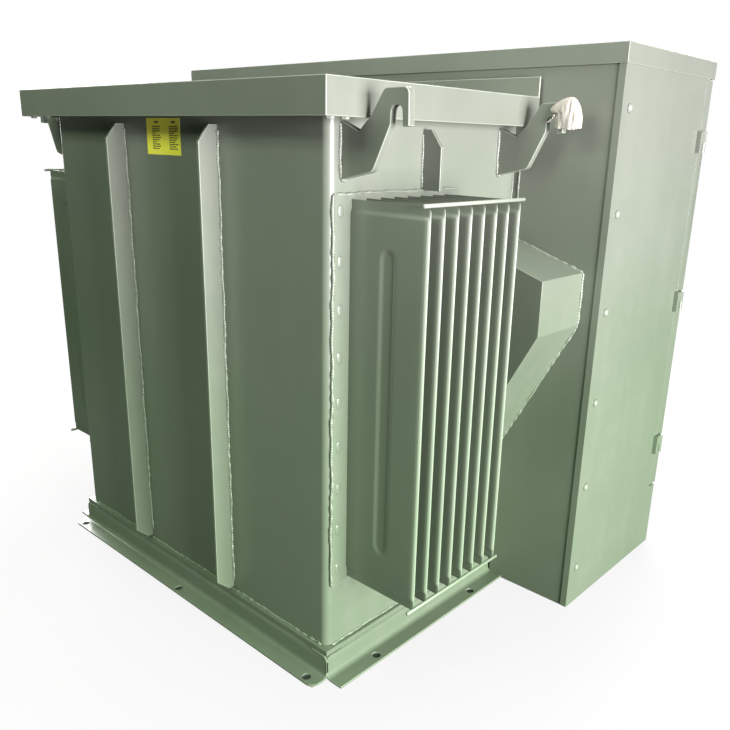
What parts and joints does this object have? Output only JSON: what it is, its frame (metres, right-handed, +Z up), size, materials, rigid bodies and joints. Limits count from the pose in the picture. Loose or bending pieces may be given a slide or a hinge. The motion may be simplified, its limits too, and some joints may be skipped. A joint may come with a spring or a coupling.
{
  "type": "pad-mounted transformer",
  "caption": "Oil-filled distribution transformer tank with side radiators and lifting hooks, and a two-door cable cabinet across its front, standing on folded base rails.",
  "frame": {"origin": "centre of the box's underside, on the pad", "axes": "+Z up, +X to the right of a person facing the doors, +Y from the doors to the back of the tank"},
  "size_m": [1.938, 1.461, 1.66],
  "materials": {
    "tank_paint": "semi-gloss grey-green enamel over welded steel plate",
    "cabinet_paint": "semi-gloss grey-green powder coat over folded sheet",
    "gasket": "black nitrile, moulded",
    "zinc": "zinc-plated steel",
    "brass": "machined brass",
    "tinned": "tin-plated copper with epoxy body",
    "epoxy": "moulded epoxy and rubber",
    "dial": "white dial under a clear front",
    "core_steel": "laminated silicon steel",
    "coil": "insulation paper over windings",
    "sleeve": "crumpled off-white packing cloth"
  },
  "bodies": {
    "root": {"tank_walls": "tank_paint", "tank_floor": "tank_paint", "tank_front_plate": "tank_paint", "tank_top_flange": "tank_paint", "tank_lid": "tank_paint", "back_rib_left": "tank_paint", "back_rib_right": "tank_paint", "side_rib_left": "tank_paint", "side_rib_right": "tank_paint", "side_pocket": "tank_paint", "rear_hook_left": "tank_paint", "front_hook_left": "tank_paint", "rear_hook_right": "tank_paint", "front_hook_right": "tank_paint", "base_rail_back": "tank_paint", "base_rail_left": "tank_paint", "base_rail_right": "tank_paint", "radiator_left": "tank_paint", "radiator_right": "tank_paint", "cabinet_back": "cabinet_paint", "cabinet_side_left": "cabinet_paint", "cabinet_side_right": "cabinet_paint", "cabinet_roof": "cabinet_paint", "door_header": "cabinet_paint", "front_sill": "cabinet_paint", "centre_barrier": "cabinet_paint", "hinge_left_1": "cabinet_paint", "hinge_left_2": "cabinet_paint", "hinge_left_3": "cabinet_paint", "hinge_right_1": "cabinet_paint", "hinge_right_2": "cabinet_paint", "hinge_right_3": "cabinet_paint", "lid_gasket": "gasket", "hook_sleeve": "sleeve", "relief_valve": "brass", "drain_valve": "brass", "level_gauge": "dial", "lv_bushing_0": "tinned", "lv_bushing_1": "tinned", "lv_bushing_2": "tinned", "lv_bushing_3": "tinned", "hv_bushing_1": "epoxy", "hv_bushing_2": "epoxy", "hv_bushing_3": "epoxy", "core": "core_steel", "coil_left": "coil", "coil_middle": "coil", "coil_right": "coil"},
    "door_left": {"door_left": "cabinet_paint"},
    "door_right": {"door_right": "cabinet_paint"},
    "latch_handle": {"door_handle": "zinc"},
    "rod_upper": {"latch_rod_upper": "zinc"},
    "rod_lower": {"latch_rod_lower": "zinc"},
    "switch": {"switch_handle": "zinc"},
    "tap_changer": {"tap_handle": "brass"},
    "drain_wheel": {"drain_wheel": "zinc"},
    "relief_ring": {"relief_ring": "zinc"},
    "fuse_1": {"fuse_holder_1": "epoxy"},
    "fuse_2": {"fuse_holder_2": "epoxy"},
    "fuse_3": {"fuse_holder_3": "epoxy"}
  },
  "joints": [
    {"name": "door_left_swing", "type": "hinge", "parent": "root", "child": "door_left", "pos_m": [-0.962, -0.6765, 0.915], "axis": [0, 0, -1], "range_deg": [0, 120]},
    {"name": "door_right_swing", "type": "hinge", "parent": "root", "child": "door_right", "pos_m": [0.962, -0.6765, 0.915], "axis": [0, 0, 1], "range_deg": [0, 120]},
    {"name": "handle_turn", "type": "hinge", "parent": "door_right", "child": "latch_handle", "pos_m": [0.075, -0.7075, 0.905], "axis": [0, 1, 0], "range_deg": [0, 90]},
    {"name": "rod_upper_slide", "type": "slide", "parent": "door_right", "child": "rod_upper", "axis": [0, 0, 1], "range_m": [0, 0.025]},
    {"name": "rod_lower_slide", "type": "slide", "parent": "door_right", "child": "rod_lower", "axis": [0, 0, -1], "range_m": [0, 0.025]},
    {"name": "switch_turn", "type": "hinge", "parent": "root", "child": "switch", "pos_m": [-0.56, -0.1115, 1.27], "axis": [0, 1, 0], "range_deg": [0, 90]},
    {"name": "tap_turn", "type": "hinge", "parent": "root", "child": "tap_changer", "pos_m": [-0.43, -0.1115, 1.27], "axis": [0, 1, 0], "range_deg": [-72, 72]},
    {"name": "drain_turn", "type": "hinge", "parent": "root", "child": "drain_wheel", "pos_m": [0.58, -0.1738, 0.268], "axis": [0, 0, 1], "range_deg": [0, 900]},
    {"name": "relief_pull", "type": "slide", "parent": "root", "child": "relief_ring", "axis": [0, -1, 0], "range_m": [0, 0.008], "stiffness_N_per_m": 1500},
    {"name": "fuse_1_draw", "type": "slide", "parent": "root", "child": "fuse_1", "axis": [0, -1, 0], "range_m": [0, 0.3]},
    {"name": "fuse_2_draw", "type": "slide", "parent": "root", "child": "fuse_2", "axis": [0, -1, 0], "range_m": [0, 0.3]},
    {"name": "fuse_3_draw", "type": "slide", "parent": "root", "child": "fuse_3", "axis": [0, -1, 0], "range_m": [0, 0.3]}
  ],
  "couplings": [
    {"joint": "rod_upper_slide", "follows": "handle_turn", "m_per_rad": 0.0159},
    {"joint": "rod_lower_slide", "follows": "handle_turn", "m_per_rad": 0.0159}
  ]
}
